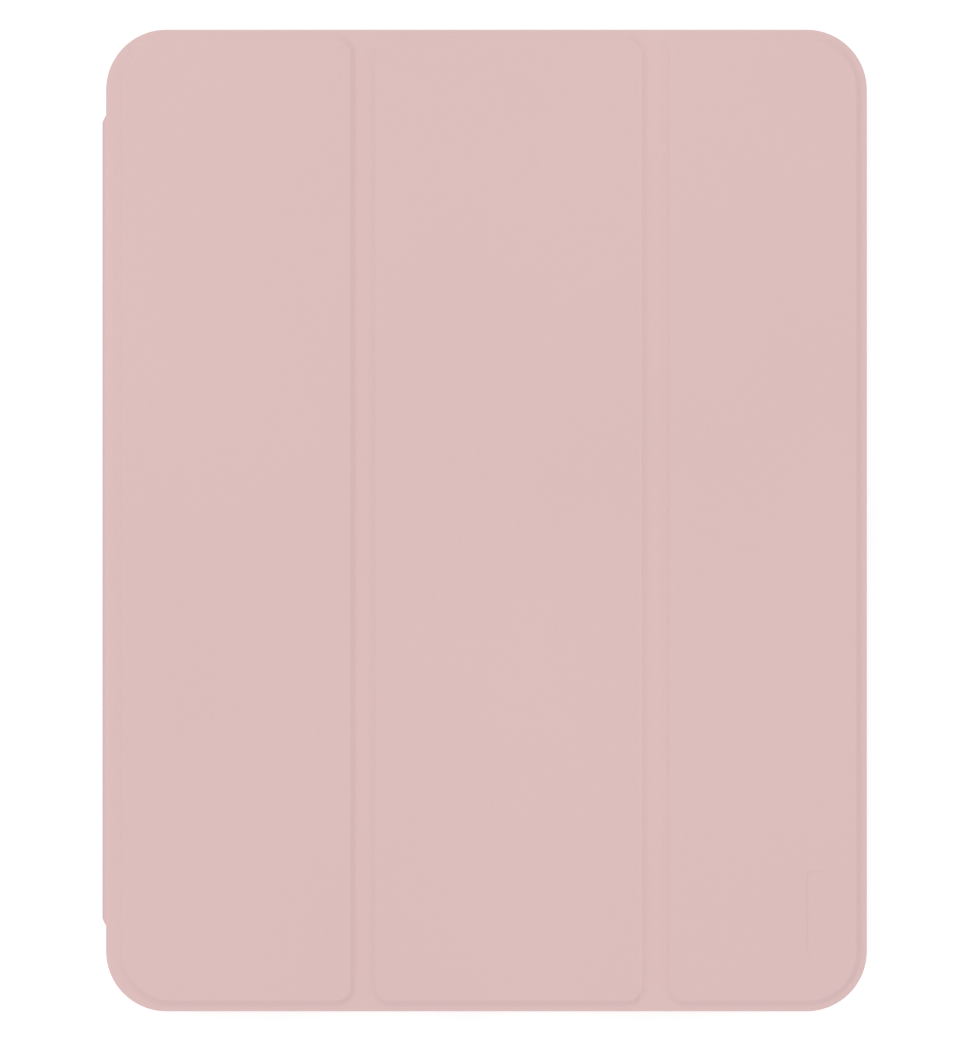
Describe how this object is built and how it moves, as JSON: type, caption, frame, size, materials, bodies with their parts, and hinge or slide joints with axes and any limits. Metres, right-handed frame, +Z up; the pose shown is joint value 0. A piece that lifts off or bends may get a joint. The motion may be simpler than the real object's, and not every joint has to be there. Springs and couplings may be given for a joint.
{
  "type": "tablet case",
  "caption": "Folio case for an 11-inch-class tablet: moulded tray with a stylus slot, spine and a folding panelled cover that becomes a stand.",
  "frame": {"origin": "middle of the underside of the closed case, spine bulge included", "axes": "+X from the spine to the cover's free edge, +Y along the long side towards the camera end, +Z up through the cover"},
  "size_m": [0.1984, 0.2546, 0.0125],
  "materials": {
    "cover_skin": "matte imitation leather with a very fine grain",
    "microfibre": "short-napped microfibre",
    "tray_rubber": "satin moulded flexible plastic",
    "stiffener": "plain sheet",
    "magnet": "nickel plated",
    "steel": "rolled sheet"
  },
  "bodies": {
    "tray": {"tray_shell": "tray_rubber", "tray_lining": "microfibre", "stylus_slot_lining": "microfibre", "back_skin": "cover_skin", "camera_ring": "tray_rubber", "stand_plate_1": "steel", "stand_plate_2": "steel"},
    "back_flex": {"back_flex_skin": "cover_skin"},
    "volume_up_key": {"volume_up_key": "tray_rubber"},
    "volume_down_key": {"volume_down_key": "tray_rubber"},
    "spine": {"spine_skin": "cover_skin", "spine_board": "stiffener", "spine_lining": "microfibre", "front_flex_skin": "cover_skin", "front_flex_lining": "microfibre"},
    "panel_a": {"panel_a_skin": "cover_skin", "panel_a_board": "stiffener", "panel_a_lining": "microfibre", "fold_ab_skin": "cover_skin", "fold_ab_lining": "microfibre"},
    "panel_b": {"panel_b_skin": "cover_skin", "panel_b_board": "stiffener", "panel_b_lining": "microfibre", "fold_bc_skin": "cover_skin", "fold_bc_lining": "microfibre"},
    "panel_c": {"panel_c_skin": "cover_skin", "panel_c_board": "stiffener", "panel_c_lining": "microfibre", "closing_magnet_1": "magnet", "closing_magnet_2": "magnet", "closing_magnet_3": "magnet", "closing_magnet_4": "magnet", "wake_magnet": "magnet"}
  },
  "joints": [
    {"name": "spine_fold_inner", "type": "hinge", "parent": "tray", "child": "back_flex", "pos_m": [-0.09785, 0, 0.00043], "axis": [0, -1, 0], "range_deg": [0, 101], "deforming": ["back_flex_skin"]},
    {"name": "spine_fold_outer", "type": "hinge", "parent": "back_flex", "child": "spine", "pos_m": [-0.09877, 0, 0.00135], "axis": [0, -1, 0], "range_deg": [0, 101]},
    {"name": "cover_fold", "type": "hinge", "parent": "spine", "child": "panel_a", "pos_m": [-0.0984, 0, 0.0107], "axis": [0, -1, 0], "range_deg": [0, 90], "deforming": ["front_flex_skin", "front_flex_lining"]},
    {"name": "fold_ab", "type": "hinge", "parent": "panel_a", "child": "panel_b", "pos_m": [-0.0314, 0, 0.0113], "axis": [0, -1, 0], "range_deg": [0, 135.4], "deforming": ["fold_ab_skin", "fold_ab_lining"]},
    {"name": "fold_bc", "type": "hinge", "parent": "panel_b", "child": "panel_c", "pos_m": [0.0445, 0, 0.0113], "axis": [0, -1, 0], "range_deg": [0, 112.6], "deforming": ["fold_bc_skin", "fold_bc_lining"]},
    {"name": "volume_up_press", "type": "slide", "parent": "tray", "child": "volume_up_key", "axis": [0, -1, 0], "range_m": [0, 0.0006], "stiffness_N_per_m": 2500},
    {"name": "volume_down_press", "type": "slide", "parent": "tray", "child": "volume_down_key", "axis": [0, -1, 0], "range_m": [0, 0.0006], "stiffness_N_per_m": 2500}
  ]
}
